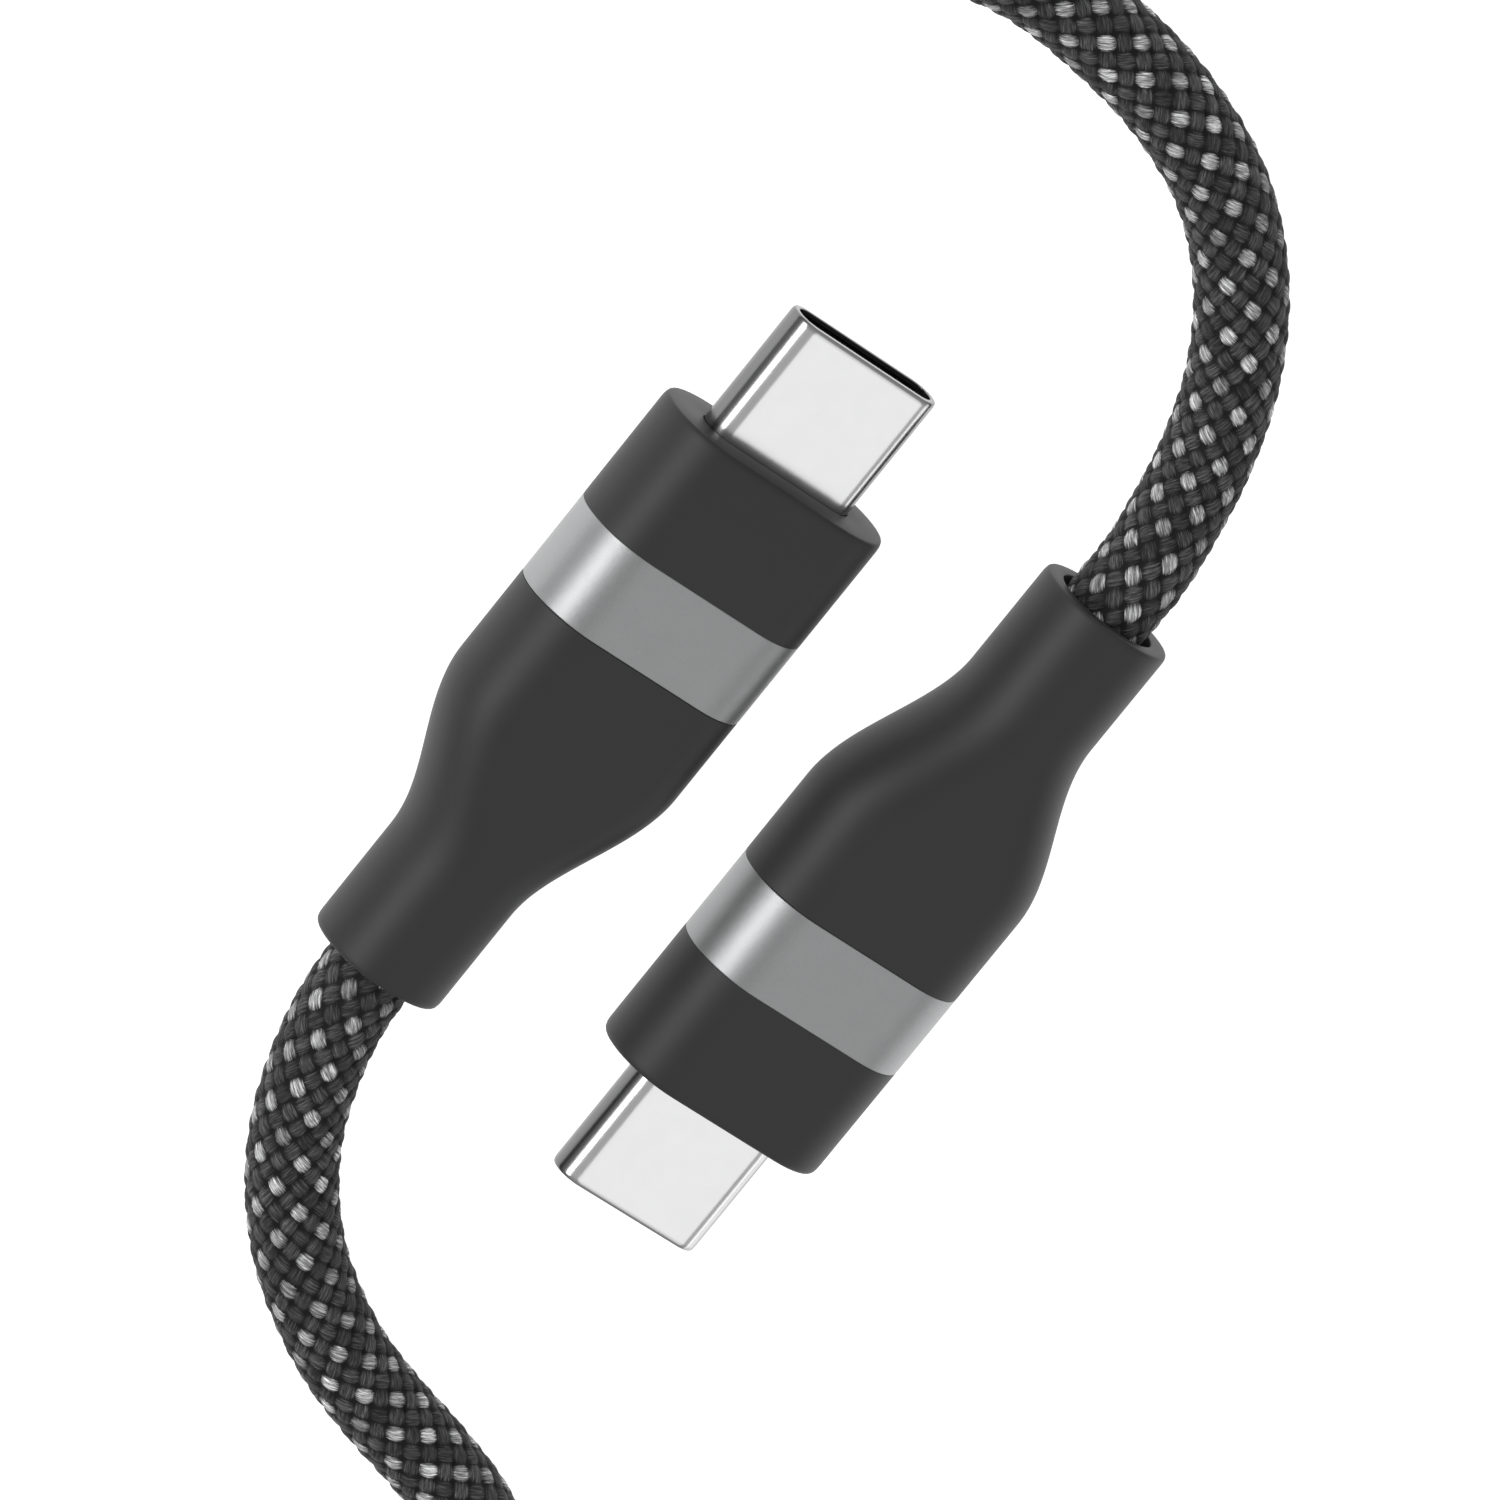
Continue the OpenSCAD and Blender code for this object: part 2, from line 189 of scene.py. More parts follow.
class Shop:
    # one material: constant settings go on the shader's own sockets, and node() adds anything else

    def __init__(self, name, **constants):
        self.material = bpy.data.materials.new(name)
        self.material.use_nodes = True
        self.tree = self.material.node_tree
        self.shader = self.tree.nodes["Principled BSDF"]
        for key, value in constants.items():
            label = {"base": "Base Color", "coat": "Coat Weight", "sheen": "Sheen Weight",
                     "sheenRoughness": "Sheen Roughness", "specular": "Specular IOR Level",
                     "coatRoughness": "Coat Roughness"}.get(key, key.capitalize())
            self.shader.inputs[label].default_value = (*value, 1) if label == "Base Color" else value

    def node(self, kind, settings=None, inputs=None, output=0):
        made = self.tree.nodes.new(kind)
        for key, value in (settings or {}).items():
            if key == "stops":
                ramp = made.color_ramp
                while len(ramp.elements) < len(value):
                    ramp.elements.new(0.5)
                for element, (place, colour) in zip(ramp.elements, value):
                    element.position, element.color = place, (*colour, 1)
            else:
                setattr(made, key, value)
        for key, value in (inputs or {}).items():
            self.feed(made.inputs[key], value)
        return Wire(self, made.outputs[output])

    def feed(self, target, value):
        if isinstance(value, Wire):
            self.tree.links.new(value.socket, target)
        else:
            target.default_value = value

    def math(self, operation, *values):
        return self.node("ShaderNodeMath", {"operation": operation}, dict(enumerate(values)))

    def mix(self, factor, first, second, blend="MIX"):
        colours = [c if isinstance(c, Wire) else (*c, 1) for c in (first, second)]
        return self.node("ShaderNodeMix", {"data_type": "RGBA", "blend_type": blend},
                         {0: factor, 6: colours[0], 7: colours[1]}, output=2)

    def place(self):
        return self.node("ShaderNodeTexCoord", output=3)

    def noise(self, grain, detail=3, where=None):
        # grain is the size of one blotch in mm
        return self.node("ShaderNodeTexNoise", {"noise_dimensions": "3D"},
                         {"Vector": where or self.place(), "Scale": 1 / (grain * mm),
                          "Detail": detail, "Roughness": 0.55})

    def bump(self, height, depth):
        # depth in mm
        return self.node("ShaderNodeBump", {},
                         {"Height": height, "Distance": depth * mm, "Strength": 1.0})

    def shade(self, **links):
        for label, value in links.items():
            socket = {"colour": "Base Color"}.get(label, label.capitalize())
            self.feed(self.shader.inputs[socket], value)
        return self.material


# Braided cord

cord = {
    "diameter": 4.4,
    "yarns": 12,  # each way round
    "lead": 15.6,  # length along the cord in which a yarn goes once round
    "yarnWidth": 0.97,  # share of the pitch
    "yarnRise": 0.15,  # roundness of a yarn
    "wave": 0.10,  # over and under
    "sides": 84,
    "seenStep": 0.15,  # ring spacing in the stretches the camera sees
    "restStep": 0.27,
    "plugStep": 1.5,  # inside the plugs
    "seenLength": 40,  # beyond each neck
    "filaments": 13,  # noise cells across one yarn
    "threadDepth": 0.09,  # bump of the filaments
    "gapShadeBelow": 0.18,  # yarn height under which only the near-black gap shows: the dark core with painted shade
    "yarnAbove": 0.29,  # and over which only the yarn does
    "light": (0.46, 0.46, 0.465),
    "dark": (0.060, 0.060, 0.062),
    # near black: the cord's dark core between the yarns, partly real colour and partly painted shade
    # in the gaps
    "gap": (0.003, 0.003, 0.0035),
}

route = [
    (-8.7, -16.1, 3.2), (-8.6, -18, 3.1), (-8.2, -20, 2.9), (-7.4, -22.4, 2.6), (-6.2, -25, 2.3),
    (-4.4, -27.7, 2.2), (-2.1, -30.1, 2.2), (0.4, -31.9, 2.2), (3.2, -33.4, 2.2), (6.3, -34.5, 2.2),
    (9.8, -35.5, 2.2), (13.5, -36.9, 2.2), (18, -40, 2.2), (21, -44.7, 2.2), (21.8, -50.2, 2.2),
    (20.2, -55.6, 2.2), (16.4, -59.7, 2.2), (11.2, -61.9, 2.2), (5.4, -61.6, 2.2), (-0.4, -59.6, 2.2),
    (-6, -55.9, 2.2), (-11, -50.4, 2.2), (-16.4, -43.4, 2.2), (-22, -36, 2.2), (-28, -28, 2.2),
    (-34, -20, 2.2), (-40, -12, 2.2), (-45.8, -4.4, 2.2), (-51.5, 2, 2.2), (-53.8, 7.4, 2.2),
    (-53.7, 13, 2.2), (-51.2, 17.8, 2.2), (-47, 21.2, 2.2), (-41.6, 24.6, 2.2), (-35.4, 28.5, 2.2),
    (-29.2, 32.2, 2.2), (-23.2, 35.3, 2.2), (-18, 37.1, 2.2), (-13.4, 37.9, 2.2), (-8.6, 37.6, 2.2),
    (-4.1, 36.7, 2.2), (0.4, 34.8, 2.2), (4.1, 31.7, 2.2), (6.7, 27.9, 2.2), (8.1, 24.2, 2.3),
    (8.6, 21.4, 2.6), (8.8, 18.8, 3), (8.7, 16.1, 3.2),
]


def smooth(t):
    t = np.clip(t, 0, 1)
    return t * t * (3 - 2 * t)


def throughPoints(points, perSpan=24):
    # centripetal Catmull-Rom curve through every point
    p = np.vstack([2 * points[0] - points[1], points, 2 * points[-1] - points[-2]])
    gap = np.sqrt(np.linalg.norm(np.diff(p, axis=0), axis=1))
    t0 = np.zeros(len(gap) - 2)
    t1 = t0 + gap[:-2]
    t2 = t1 + gap[1:-1]
    t3 = t2 + gap[2:]
    t = t1[:, None] + (t2 - t1)[:, None] * np.linspace(0, 1, perSpan, endpoint=False)

    def blend(a, b, ta, tb):
        ta, tb = ta[:, None], tb[:, None]
        return a * ((tb - t) / (tb - ta))[..., None] + b * ((t - ta) / (tb - ta))[..., None]

    corner = [p[k:len(p) - 3 + k][:, None, :] for k in range(4)]
    a1, a2, a3 = (blend(corner[k], corner[k + 1], ta, tb)
                  for k, (ta, tb) in enumerate(((t0, t1), (t1, t2), (t2, t3))))
    b1, b2 = blend(a1, a2, t0, t2), blend(a2, a3, t1, t3)
    curve = blend(b1, b2, t1, t2).reshape(-1, 3)
    return np.vstack([curve, points[-1]])


def lengthAlong(points):
    return np.concatenate([[0], np.cumsum(np.linalg.norm(np.diff(points, axis=0), axis=1))])


def cordLine():
    # from inside plug A, straight out of its neck, along the route and straight into plug B
    startY, endY = boxOf("cord_end_a")[1][1], boxOf("cord_end_b")[0][1]
    middle = np.array(route, float)
    first, last = middle[0], middle[-1]
    inside = np.array([[first[0], y, first[2]] for y in np.linspace(startY, first[1], 6)[:-1]])
    outside = np.array([[last[0], y, last[2]] for y in np.linspace(last[1], endY, 6)[1:]])
    return throughPoints(np.vstack([inside, middle, outside])), startY - first[1]


def weaveHeight(u, v):
    # u turns round and v leads along. A yarn of one family keeps n(u+v), of the other n(u-v);
    # its height is wave cos(pi other) + rise sqrt(1 - (2 across / width)^2), and the higher shows
    n, width = cord["yarns"], cord["yarnWidth"]
    first, second = n * (u + v), n * (u - v)
    firstYarn, secondYarn = np.round(first), np.round(second)

    def yarn(across, other):
        crown = np.sqrt(np.clip(1 - (2 * across / width) ** 2, 0, 1))
        return cord["wave"] * np.cos(math.pi * other) + cord["yarnRise"] * crown

    return np.maximum(yarn(first - firstYarn, second + firstYarn),
                      yarn(second - secondYarn, first + secondYarn + 1))


def braidMaterial():
    shop = Shop("cordBraid", roughness=0.72, specular=0.3, sheen=0.04, sheenRoughness=0.4)
    n, width = cord["yarns"], cord["yarnWidth"]
    uv = shop.node("ShaderNodeUVMap", {"uv_map": "Around"})
    split = shop.node("ShaderNodeSeparateXYZ", {}, {0: uv})
    u, v = split, Wire(shop, split.socket.node.outputs[1])
    first, second = (u + v) * n, (u - v) * n
    firstYarn, secondYarn = (shop.math("ROUND", f) for f in (first, second))

    def yarn(across, other):
        side = across * (2 / width)
        crown = shop.math("SQRT", shop.math("MAXIMUM", 1 - side * side, 0.0))
        return shop.math("COSINE", other * math.pi) * cord["wave"] + crown * cord["yarnRise"]

    firstUp = yarn(first - firstYarn, second + firstYarn)
    secondUp = yarn(second - secondYarn, first + secondYarn + 1.0)
    onTop = firstUp > secondUp
    height = shop.math("MAXIMUM", firstUp, secondUp)
    across = (second - secondYarn) + onTop * ((first - firstYarn) - (second - secondYarn))
    along = first + onTop * (second - first)
    cell = shop.node("ShaderNodeCombineXYZ", {},
                     {0: shop.math("FLOORED_MODULO", firstYarn, float(n)),
                      1: shop.math("FLOORED_MODULO", secondYarn, float(n))})
    chance = shop.node("ShaderNodeTexWhiteNoise", {"noise_dimensions": "3D"}, {"Vector": cell})
    strand = shop.node("ShaderNodeCombineXYZ", {},
                       {0: across * cord["filaments"] + chance * 0.6, 1: along * 1.1, 2: chance * 9})
    fibre = shop.node("ShaderNodeTexNoise", {"noise_dimensions": "3D"},
                      {"Vector": strand, "Scale": 1.0, "Detail": 3.0, "Roughness": 0.7})
    pale = onTop * (1 - shop.math("FLOORED_MODULO", firstYarn, 2.0))
    crest = shop.node("ShaderNodeMapRange", {"interpolation_type": "SMOOTHSTEP"},
                      {"Value": height + fibre * 0.14,
                       "From Min": cord["gapShadeBelow"], "From Max": cord["yarnAbove"]})
    tone = shop.mix(pale, cord["dark"], cord["light"])
    filament = shop.math("POWER", fibre * 2, 4.0)
    shine = (filament * 0.72 + 0.15) * (chance * 0.8 + 0.6)
    grey = shop.node("ShaderNodeCombineXYZ", {}, {0: shine, 1: shine, 2: shine})
    toned = shop.mix(1.0, tone, grey, "MULTIPLY")
    threads = shop.bump(fibre * crest, cord["threadDepth"])
    # low places of the weave take the gap colour: the dark core, darkened as painted shade
    return shop.shade(colour=shop.mix(crest, cord["gap"], toned), normal=threads)


def ringStops(total, plugLength):
    # distances along the cord at which it gets a ring, closest where it is seen
    marks = np.cumsum([0, plugLength, cord["seenLength"]])
    steps = [cord["plugStep"], cord["seenStep"], cord["restStep"], cord["seenStep"], cord["plugStep"]]
    edges = [*marks, *(total - marks[::-1])]
    return np.unique(np.concatenate([np.linspace(a, b, math.ceil((b - a) / step) + 1)
                                     for a, b, step in zip(edges[:-1], edges[1:], steps)]))


def makeCord():
    # each ring is the line's point + radius (cos turn side + sin turn up), radius by weaveHeight
    line, plugLength = cordLine()
    along = lengthAlong(line)
    total = along[-1]
    stops = ringStops(total, plugLength)
    centre = np.stack([np.interp(stops, along, line[:, c]) for c in range(3)], axis=-1)
    heading = np.gradient(centre, stops, axis=0)
    heading /= np.linalg.norm(heading, axis=1, keepdims=True)
    side = np.cross((0, 0, 1), heading)
    side /= np.linalg.norm(side, axis=1, keepdims=True)
    up = np.cross(heading, side)
    sides = cord["sides"]
    u = np.arange(sides) / sides
    v = stops / cord["lead"]
    core = cord["diameter"] / 2 - cord["wave"] - cord["yarnRise"]
    radius = core + weaveHeight(u[None, :], v[:, None])
    turn = (2 * math.pi * u)[None, :, None]
    spokes = np.cos(turn) * side[:, None, :] + np.sin(turn) * up[:, None, :]
    points = (centre[:, None, :] + radius[..., None] * spokes).reshape(-1, 3)
    rows = len(stops)
    faces = gridFaces(rows, sides)
    i, k = np.divmod(np.arange((rows - 1) * sides), sides)
    corners = [(k / sides, v[i]), ((k + 1) / sides, v[i]),
               ((k + 1) / sides, v[i + 1]), (k / sides, v[i + 1])]
    uv = np.stack([np.stack(c, axis=-1) for c in corners], axis=1)
    caps = endFaces(rows, sides)
    capUv = np.concatenate([np.stack([u[::-1], 0 * u + v[0]], axis=-1),
                            np.stack([u, 0 * u + v[-1]], axis=-1)])
    uvAll = np.concatenate([uv.reshape(-1, 2), capUv])
    piece = makePiece("braided_cord", points, faces.tolist() + caps, braidMaterial(), uvAll)
    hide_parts("cord", "cord_end_a", "cord_end_b")
    print("cord", round(total, 1), "mm,", rows, "rings,", 2 * len(faces), "triangles")
    return piece, line, total


cordPiece, cordCentre, cordTotal = makeCord()


# Plugs

housing = {
    "neckWidth": 6.9,
    "straight": 4.6,  # behind the band
    "shoulder": 8.7,  # length of the S curve down to the neck
    "frontRound": 0.5,
    "seamRound": 0.07,  # edges beside the trim band
    "seamDepth": 0.12,
    "openingRound": 0.12,  # edge of the hole for the shell
    "openingSlack": 0.06,  # how much wider an opening is than what passes through it
    "sleeve": (11.54, 5.54),
    "cavity": (10.5, 4.5),  # room for the inner mould
    "wall": 1.2,
    "mouthWidth": 5.0,
    "mouthDepth": 1.5,
    "mouthRound": 0.15,
    "endRound": 0.4,
    "cordHole": 4.46,
    "mouldBack": -12.2,  # where the room for the mould narrows to its tail
    "tailHole": 5.62,
    "shellWall": 0.25,
    "rimRound": 0.3,  # rolled edge at the shell's tip
    "rimLip": 0.12,  # how far the tip turns inwards
    "rimDepth": 0.3,
    "rimTone": (0.35, 0.05),  # distances from the tip over which the colour darkens towards the tip
    "sideTone": (0.6, 0.97),  # shares of the half height over which the painted shade on the rounded sides fades out
}

tight = 0.02  # reach of a corner that stays sharp
plugBoxes = {node: boxOf(node + "_a")
             for node in ("front_cover", "trim_band", "rear_body", "plug_shell", "inner_mould")}
bandLow, bandHigh = plugBoxes["trim_band"]
plugAxis = ((bandLow[0] + bandHigh[0]) / 2, (bandLow[2] + bandHigh[2]) / 2)
plugFront = plugBoxes["front_cover"][1][1]
housingWidth, housingHeight = bandHigh[0] - bandLow[0], bandHigh[2] - bandLow[2]


def placeOn(end):
    # plug-local points, nose along +Y, to their place; plug B is plug A turned half round
    turn = 1 if end == "a" else -1
    return lambda p: (p + (plugAxis[0], plugFront, plugAxis[1])) * (turn, turn, 1)


def depthOf(node, side):
    # a piece's own front (1) or back (0), measured from the plug's front face
    return plugBoxes[node][side][1] - plugFront


def coverStations():
    w, h, back = housingWidth, housingHeight, depthOf("trim_band", 1)
    sw, sh = shellSize()
    step, slack = housing["seamDepth"], housing["openingSlack"]
    sleeveBack = depthOf("front_cover", 0)
    return [
        (sw + slack, sh + slack, -housing["wall"], tight),
        (sw + slack, sh + slack, 0, housing["openingRound"]),
        (w, h, 0, housing["frontRound"]),
        (w, h, back, housing["seamRound"]),
        (w - step, h - step, back - 0.02, tight),
        (*housing["sleeve"], back - 0.02, tight),
        (*housing["sleeve"], sleeveBack, tight),
        (*housing["cavity"], sleeveBack, tight),
        (*housing["cavity"], -housing["wall"], tight),
    ]


def bandStations():
    front, back = depthOf("trim_band", 1), depthOf("trim_band", 0)
    w, h = housingWidth, housingHeight
    inner = [size + housing["openingSlack"] for size in housing["sleeve"]]
    edge = housing["seamRound"]
    return [(*inner, front, tight), (w, h, front, edge), (w, h, back, edge), (*inner, back, tight)]


def bodyStations():
    w, h, start = housingWidth, housingHeight, depthOf("trim_band", 0)
    end, sleeveEnd = depthOf("rear_body", 0), depthOf("rear_body", 1)
    shoulder = start - housing["straight"]
    step, mouth = housing["seamDepth"], housing["mouthWidth"]
    curve = [(w + (housing["neckWidth"] - w) * smooth(t), h, shoulder - housing["shoulder"] * t, 0.01)
             for t in np.linspace(0, 1, 33)]
    tail, hole, mouldBack = housing["tailHole"], housing["cordHole"], housing["mouldBack"]
    tailBack = plugBoxes["inner_mould"][0][1] - plugFront
    return [
        (*housing["sleeve"], sleeveEnd, tight),
        (*housing["sleeve"], start - 0.01, tight),
        (w - step, h - step, start - 0.01, tight),
        (w, h, start - 0.03, housing["seamRound"]),
        *curve,
        (housing["neckWidth"], h, end, housing["endRound"]),
        (mouth, mouth, end, housing["mouthRound"]),
        (mouth, mouth, end + housing["mouthDepth"], tight),
        (hole, hole, end + housing["mouthDepth"], tight),
        (hole, hole, tailBack, tight),
        (tail, tail, tailBack, tight),
        (tail, tail, mouldBack, tight),
        (*housing["cavity"], mouldBack, tight),
        (*housing["cavity"], sleeveEnd, tight),
    ]


def shellSize():
    low, high = plugBoxes["plug_shell"]
    return high[0] - low[0], high[2] - low[2]


def shellStations():
    (w, h), wall = shellSize(), 2 * housing["shellWall"]
    tip, back = depthOf("plug_shell", 1), depthOf("plug_shell", 0)
    rim, lip = housing["rimRound"], 2 * housing["rimLip"]
    inner = (w - wall, h - wall)
    return [
        (*inner, back, tight),
        (*inner, tip - housing["rimDepth"], 0.05),
        (w - wall - lip, h - wall - lip, tip, rim * 0.6),
        (w, h, tip, rim),
        (w, h, back, tight),
    ]


def softTouchMaterial():
    shop = Shop("softTouch", base=(0.022, 0.022, 0.023), roughness=0.5, specular=0.45)
    cloud, grain = shop.noise(2.5, 4), shop.noise(0.05, 2)
    colour = shop.mix(cloud, (0.0205, 0.0205, 0.0215), (0.025, 0.025, 0.026))
    return shop.shade(colour=colour, roughness=cloud * 0.06 + grain * 0.05 + 0.46,
                      normal=shop.bump(grain, 0.0025))


def bandMaterial():
    shop = Shop("blastedBand", metallic=1.0, roughness=0.36)
    grain, cloud = shop.noise(0.045, 2), shop.noise(1.6, 3)
    colour = shop.mix(grain, (0.30, 0.303, 0.307), (0.43, 0.434, 0.438))
    return shop.shade(colour=colour, roughness=cloud * 0.05 + grain * 0.10 + 0.36,
                      normal=shop.bump(grain, 0.006))


def shellMaterial():
    # polished steel, with painted shade on its rounded sides, where the colour turns dark grey in
    # place of a darker reflection there, and a darker tone over the last tenths of a millimetre at
    # the tip
    shop = Shop("polishedShell", metallic=1.0, roughness=0.14)
    spot = shop.place()
    drawn = shop.node("ShaderNodeMapping", {}, {"Vector": spot, "Scale": (1, 0.06, 1)})
    streak, cloud = shop.noise(0.03, 2, drawn), shop.noise(1.2, 3)
    split = shop.node("ShaderNodeSeparateXYZ", {}, {0: spot})
    y, z = (Wire(shop, split.socket.node.outputs[k]) for k in (1, 2))
    height = shop.math("ABSOLUTE", z - plugAxis[1] * mm)
    reach = shellSize()[1] / 2 * mm
    ease = {"interpolation_type": "SMOOTHSTEP"}
    # painted shade: this mask is 0 round the middle of the rounded sides and 1 on the flats
    top = shop.node("ShaderNodeMapRange", ease,
                    {"Value": height, "From Min": reach * housing["sideTone"][0],
                     "From Max": reach * housing["sideTone"][1]})
    tip = plugBoxes["plug_shell"][1][1] * mm
    rim = shop.node("ShaderNodeMapRange", ease,
                    {"Value": shop.math("ABSOLUTE", y),
                     "From Min": tip - housing["rimTone"][0] * mm,
                     "From Max": tip - housing["rimTone"][1] * mm})
    polished = shop.mix(cloud, (0.80, 0.80, 0.805), (0.86, 0.86, 0.865))
    # the dark grey is painted shade on the rounded sides; near the tip the colour darkens as well
    colour = shop.mix(top * (1 - rim * 0.65), (0.20, 0.20, 0.203), polished)
    return shop.shade(colour=colour, roughness=streak * 0.06 + cloud * 0.05 + 0.16 - top * 0.04,
                      normal=shop.bump(streak, 0.0008))


def makePlugs():
    soft, band, shell = softTouchMaterial(), bandMaterial(), shellMaterial()
    parts = (
        ("front_cover", coverStations(), soft, "soft_black"),
        ("trim_band", bandStations(), band, "band_metal"),
        ("rear_body", bodyStations(), soft, "soft_black"),
        ("plug_shell", shellStations(), shell, "plug_steel"),
    )
    for end in ends:
        for node, stations, material, slot in parts:
            piece = loftPiece(f"{node}_{end}_smooth", stations, placeOn(end), material)
            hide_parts(f"{node}_{end}")


makePlugs()
print("plugs")


# Inner pieces, which keep their CAD shapes

plasticGrain = {"cloud": 0.9, "grain": 0.06, "depth": 0.004}  # blotch sizes and depth


def grained(name, dark, light, rough):
    # plastic and ceramic: colour drifts between two tones in clouds, with a fine grain on the surface
    shop = Shop(name)
    cloud, grain = shop.noise(plasticGrain["cloud"], 3), shop.noise(plasticGrain["grain"], 2)
    colour = shop.mix(cloud * 0.6 + grain * 0.4, dark, light)
    return shop.shade(colour=colour, roughness=grain * 0.12 + cloud * 0.08 + rough,
                      normal=shop.bump(grain, plasticGrain["depth"]))


def drawnMetal(name, dark, light, rough):
    # fine lines along the plug, as rolled strip has
    shop = Shop(name, metallic=1.0)
    drawn = shop.node("ShaderNodeMapping", {}, {"Vector": shop.place(), "Scale": (1, 0.05, 1)})
    line, cloud = shop.noise(0.02, 2, drawn), shop.noise(0.8, 3)
    colour = shop.mix(cloud * 0.5 + line * 0.5, dark, light)
    return shop.shade(colour=colour, roughness=line * 0.15 + rough, normal=shop.bump(line, 0.002))


def cardMaterial():
    # solder mask over copper tracks, which show as paler bands
    shop = Shop("cardMask", roughness=0.3, coat=0.4, coatRoughness=0.15)
    x = shop.node("ShaderNodeSeparateXYZ", {}, {0: shop.place()})
    track = shop.math("SINE", x * (2 * math.pi / (0.5 * mm)) + shop.noise(1.5, 1) * 4) > 0.3
    colour = shop.mix(track, (0.006, 0.05, 0.02), (0.012, 0.12, 0.045))
    return shop.shade(colour=colour, normal=shop.bump(track, 0.02))


def dataMaterial(name, axis, turn):
    # one white wire and one green wire, either side of the plug's middle
    shop = Shop(name, roughness=0.35)
    x = shop.node("ShaderNodeSeparateXYZ", {}, {0: shop.place()})
    side = (x * turn) > axis * mm * turn
    tint = shop.mix(side, (0.72, 0.72, 0.70), (0.05, 0.34, 0.10))
    cloud = shop.noise(0.5, 3)
    return shop.shade(colour=shop.mix(cloud * 0.25, tint, (0.3, 0.3, 0.28)),
                      roughness=cloud * 0.15 + 0.28, normal=shop.bump(cloud, 0.01))


innerFinishes = {
    # piece: way of making it, material, darker tone, lighter tone, roughness
    "insulator": (grained, "insulatorBlack", (0.008, 0.008, 0.009), (0.02, 0.02, 0.021), 0.4),
    "contacts_upper": (drawnMetal, "contactGold", (0.72, 0.46, 0.14), (0.92, 0.66, 0.28), 0.14),
    "ground_spring_upper": (drawnMetal, "springStrip", (0.42, 0.41, 0.39), (0.62, 0.61, 0.58), 0.22),
    "latch_bridge": (drawnMetal, "latchStrip", (0.48, 0.48, 0.48), (0.66, 0.66, 0.65), 0.2),
    "card_parts": (grained, "ceramicTan", (0.20, 0.13, 0.08), (0.34, 0.25, 0.17), 0.45),
    "emarker_chip": (grained, "chipEpoxy", (0.008, 0.008, 0.008), (0.02, 0.02, 0.02), 0.5),
    "shield_can_upper": (drawnMetal, "tinnedCan", (0.50, 0.51, 0.52), (0.70, 0.71, 0.72), 0.25),
    "crimp_ferrule": (drawnMetal, "tinnedFerrule", (0.42, 0.42, 0.40), (0.60, 0.60, 0.58), 0.3),
    "inner_mould": (grained, "mouldCream", (0.56, 0.53, 0.45), (0.70, 0.68, 0.60), 0.45),
    "power_wire": (grained, "wireRed", (0.32, 0.012, 0.012), (0.46, 0.03, 0.025), 0.3),
    "ground_wire": (grained, "wireBlack", (0.006, 0.006, 0.006), (0.018, 0.018, 0.018), 0.3),
    "config_wire": (grained, "wireBlue", (0.01, 0.035, 0.22), (0.03, 0.08, 0.36), 0.3),
}


def finishNodes():
    finishes = {kind: make(*rest) for kind, (make, *rest) in innerFinishes.items()}
    finishes["circuit_card"] = cardMaterial()
    same = {"contacts_lower": "contacts_upper", "ground_spring_lower": "ground_spring_upper",
            "latch_arm_left": "latch_bridge", "latch_arm_right": "latch_bridge",
            "shield_can_lower": "shield_can_upper"}
    dataWires = {end: dataMaterial("dataWires" + end.upper(), plugAxis[0] * turn, turn)
                 for end, turn in (("a", 1), ("b", -1))}
    for name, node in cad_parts.items():
        kind, end = name[:-2], name[-1]
        found = dataWires[end] if kind == "data_wires" else finishes.get(same.get(kind, kind))
        if found:
            node.data.materials.clear()
            node.data.materials.append(found)


finishNodes()
print("inner pieces")


# Floor and light

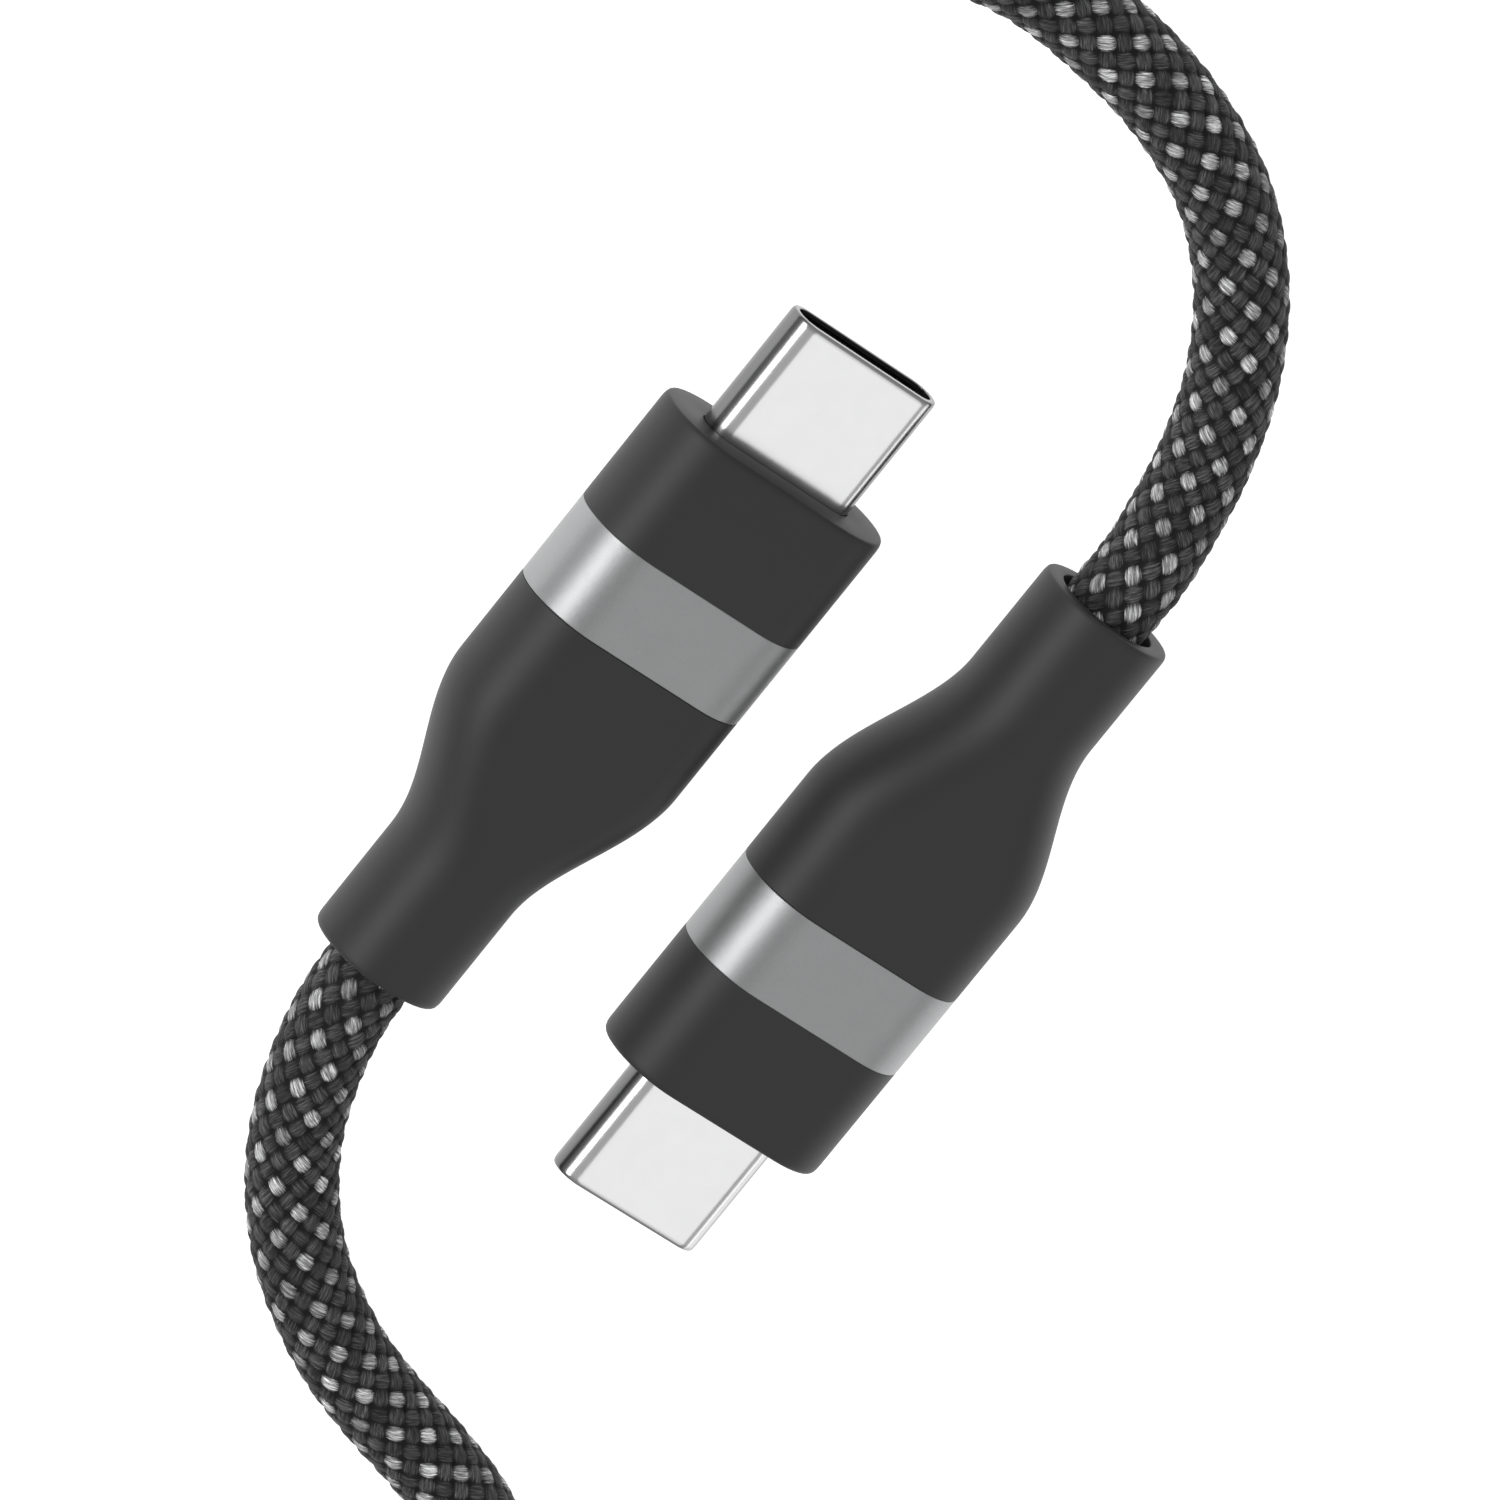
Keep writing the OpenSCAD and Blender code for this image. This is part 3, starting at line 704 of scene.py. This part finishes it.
studio = {
    "floorBase": (0.6, 0.6, 0.6),
    "floorGlow": 0.9,  # emission, which keeps the floor white and without shadows
    "floorReach": 3.0,  # metres each way
    "floorDrop": -0.00002,  # metres, just under the plugs
    "world": (0.92, 0.92, 0.92),
    "worldStrength": 0.45,
    "lights": {
        # direction from the plugs, distance and size in metres, watts
        "overhead": ((0.42, -0.23, 0.88), 1.2, (0.7, 0.9), 1.15),
        "leftStrip": ((-0.75, -0.14, 0.62), 1.0, (0.9, 0.32), 5.0),
        "rightFill": ((0.95, -0.25, 0.20), 1.0, (0.9, 0.3), 0.75),
    },
}


def makeStage():
    shop = Shop("paleFloor", base=studio["floorBase"], roughness=0.9)
    shop.shader.inputs["Emission Color"].default_value = (1, 1, 1, 1)
    shop.shader.inputs["Emission Strength"].default_value = studio["floorGlow"]
    shop.shade(roughness=shop.noise(4) * 0.1 + 0.85)
    mesh = bpy.data.meshes.new("floor")
    reach, drop = studio["floorReach"], studio["floorDrop"]
    corners = [(x * reach, y * reach, drop) for x, y in ((-1, -1), (1, -1), (1, 1), (-1, 1))]
    mesh.from_pydata(corners, [], [(0, 1, 2, 3)])
    mesh.materials.append(shop.material)
    floor = bpy.data.objects.new("floor", mesh)
    bpy.context.scene.collection.objects.link(floor)


def softbox(name, toward, distance, size, watts):
    # an area light at that direction from the plugs, turned to face them
    data = bpy.data.lights.new(name, "AREA")
    data.shape, data.size, data.size_y, data.energy = "RECTANGLE", size[0], size[1], watts
    light = bpy.data.objects.new(name, data)
    direction = Vector(toward).normalized()
    light.location = direction * distance
    light.rotation_mode = "QUATERNION"
    light.rotation_quaternion = direction.to_track_quat("Z", "Y")
    bpy.context.scene.collection.objects.link(light)


def makeLight():
    for name, facts in studio["lights"].items():
        softbox(name, *facts)
    world = bpy.data.worlds.new("studio")
    world.use_nodes = True
    background = world.node_tree.nodes["Background"].inputs
    background["Color"].default_value = (*studio["world"], 1)
    background["Strength"].default_value = studio["worldStrength"]
    bpy.context.scene.world = world
    bpy.context.scene.view_settings.view_transform = "Standard"


makeStage()
makeLight()
print("stage and light")

# Nothing measures the cord's stiffness.
cordTotal * mm
cordCentre[::6] * mm
